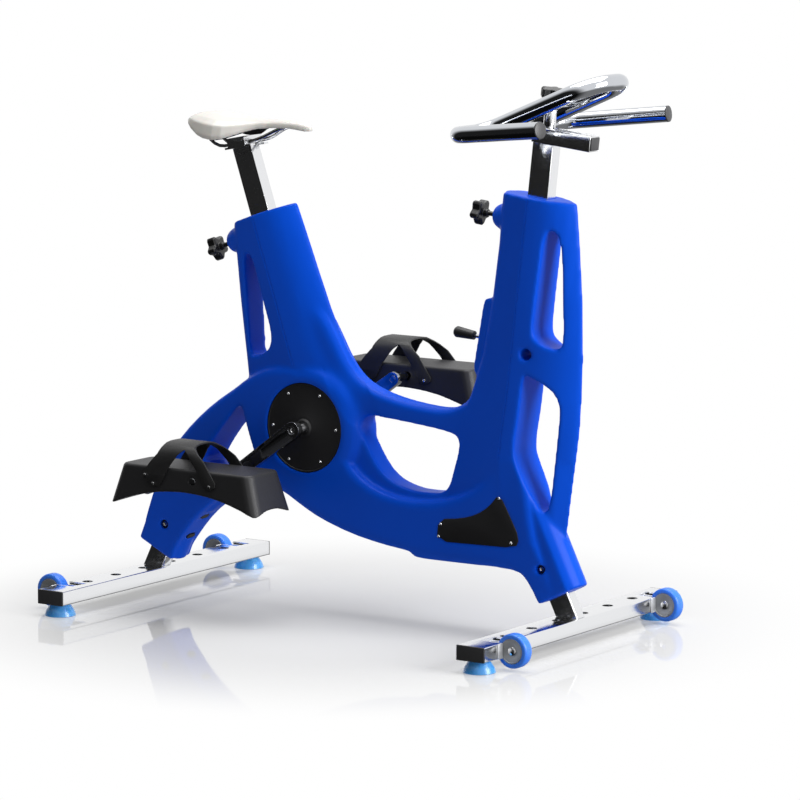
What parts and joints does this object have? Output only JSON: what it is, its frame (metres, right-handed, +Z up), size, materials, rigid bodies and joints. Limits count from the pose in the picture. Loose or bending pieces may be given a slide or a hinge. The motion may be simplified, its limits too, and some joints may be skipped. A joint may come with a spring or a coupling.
{
  "type": "aqua bike",
  "caption": "Underwater exercise bike: moulded blue frame on stainless stabiliser bars with suction feet and wheels, float pedals, adjustable saddle and handlebar.",
  "frame": {"origin": "on the pool floor, under the middle of the whole bike", "axes": "+X forward to the handlebar, +Y to the rider's left, +Z up from the floor"},
  "size_m": [1.2156, 0.722, 1.1322],
  "materials": {
    "shell": "satin",
    "steel": "polished",
    "black": "satin",
    "rubber": "matte",
    "tyre": "satin",
    "cup": "satin",
    "saddle": "satin",
    "crank": "polished"
  },
  "bodies": {
    "frame": {"body_shell": "shell", "hub_cover_right": "black", "hub_cover_left": "black", "access_cover": "black", "front_leg": "steel", "rear_leg": "steel", "front_foot_bolt": "steel", "rear_foot_bolt": "steel", "front_bar": "steel", "rear_bar": "steel", "front_bar_cap_right": "black", "front_suction_foot_right": "cup", "front_wheel_bracket_right": "steel", "front_axle_bolt_right": "steel", "front_bar_cap_left": "black", "front_suction_foot_left": "cup", "front_wheel_bracket_left": "steel", "front_axle_bolt_left": "steel", "rear_bar_cap_right": "black", "rear_suction_foot_right": "cup", "rear_wheel_bracket_right": "steel", "rear_axle_bolt_right": "steel", "rear_bar_cap_left": "black", "rear_suction_foot_left": "cup", "rear_wheel_bracket_left": "steel", "rear_axle_bolt_left": "steel"},
    "crank_set": {"spindle": "steel", "crank_arm_right": "crank", "crank_arm_left": "crank", "pedal_spindle_right": "crank", "pedal_spindle_left": "crank"},
    "right_pedal": {"pedal_right": "black", "strap_right": "rubber"},
    "left_pedal": {"pedal_left": "black", "strap_left": "rubber"},
    "seat_mast": {"seat_post": "steel"},
    "seat_clamp": {"saddle_clamp": "steel"},
    "saddle": {"saddle_rails": "steel", "saddle_base": "black", "saddle_cover": "saddle"},
    "handlebar_mast": {"handlebar_post": "steel", "stem_tube": "steel", "stem_plug": "black"},
    "carriage": {"clamp_column": "steel", "handlebar": "steel", "grip_plug_right": "black", "grip_plug_left": "black"},
    "seat_knob": {"seat_post_knob": "black"},
    "mast_knob": {"handlebar_post_knob": "black"},
    "carriage_lock": {"carriage_knob": "black"},
    "resistance": {"resistance_lever": "black", "resistance_grip": "black"},
    "front_wheel_right": {"front_wheel_disc_right": "black", "front_wheel_tyre_right": "tyre"},
    "front_wheel_left": {"front_wheel_disc_left": "black", "front_wheel_tyre_left": "tyre"},
    "rear_wheel_right": {"rear_wheel_disc_right": "black", "rear_wheel_tyre_right": "tyre"},
    "rear_wheel_left": {"rear_wheel_disc_left": "black", "rear_wheel_tyre_left": "tyre"}
  },
  "joints": [
    {"name": "crank_spin", "type": "hinge", "parent": "frame", "child": "crank_set", "pos_m": [-0.1099, 0, 0.3868], "axis": [0, 1, 0], "continuous": true},
    {"name": "pedal_right_spin", "type": "hinge", "parent": "crank_set", "child": "right_pedal", "pos_m": [-0.24881, -0.182, 0.28881], "axis": [0, 1, 0], "continuous": true},
    {"name": "pedal_left_spin", "type": "hinge", "parent": "crank_set", "child": "left_pedal", "pos_m": [0.02902, 0.182, 0.48479], "axis": [0, 1, 0], "continuous": true},
    {"name": "seat_post_slide", "type": "slide", "parent": "frame", "child": "seat_mast", "axis": [-0.3198, 0, 0.9475], "range_m": [-0.1, 0.09]},
    {"name": "saddle_tilt", "type": "hinge", "parent": "seat_mast", "child": "seat_clamp", "pos_m": [-0.28734, 0, 0.95441], "axis": [0, 1, 0], "range_deg": [-8, 8]},
    {"name": "saddle_slide", "type": "slide", "parent": "seat_clamp", "child": "saddle", "axis": [0.9816, 0, 0.1908], "range_m": [-0.01, 0.01]},
    {"name": "handlebar_post_slide", "type": "slide", "parent": "frame", "child": "handlebar_mast", "axis": [0.112, 0, 0.9937], "range_m": [-0.09, 0.08]},
    {"name": "carriage_slide", "type": "slide", "parent": "handlebar_mast", "child": "carriage", "axis": [0.9937, 0, -0.112], "range_m": [0, 0.07]},
    {"name": "seat_knob_turn", "type": "hinge", "parent": "frame", "child": "seat_knob", "pos_m": [-0.35831, 0, 0.73626], "axis": [-0.9475, 0, -0.3198], "range_deg": [0, 360]},
    {"name": "mast_knob_turn", "type": "hinge", "parent": "frame", "child": "mast_knob", "pos_m": [0.28963, 0, 0.84818], "axis": [-0.9937, 0, 0.112], "range_deg": [0, 360]},
    {"name": "carriage_knob_turn", "type": "hinge", "parent": "carriage", "child": "carriage_lock", "pos_m": [0.45559, 0, 1.08407], "axis": [0.112, 0, 0.9937], "range_deg": [0, 360]},
    {"name": "resistance_lever_swing", "type": "hinge", "parent": "frame", "child": "resistance", "pos_m": [0.3362, 0, 0.593], "axis": [0, 1, 0], "range_deg": [-12, 12]},
    {"name": "front_wheel_right_roll", "type": "hinge", "parent": "frame", "child": "front_wheel_right", "pos_m": [0.5552, -0.2845, 0.0405], "axis": [0, 1, 0], "continuous": true},
    {"name": "front_wheel_left_roll", "type": "hinge", "parent": "frame", "child": "front_wheel_left", "pos_m": [0.5552, 0.2845, 0.0405], "axis": [0, 1, 0], "continuous": true},
    {"name": "rear_wheel_right_roll", "type": "hinge", "parent": "frame", "child": "rear_wheel_right", "pos_m": [-0.5738, -0.2845, 0.0405], "axis": [0, 1, 0], "continuous": true},
    {"name": "rear_wheel_left_roll", "type": "hinge", "parent": "frame", "child": "rear_wheel_left", "pos_m": [-0.5738, 0.2845, 0.0405], "axis": [0, 1, 0], "continuous": true}
  ]
}
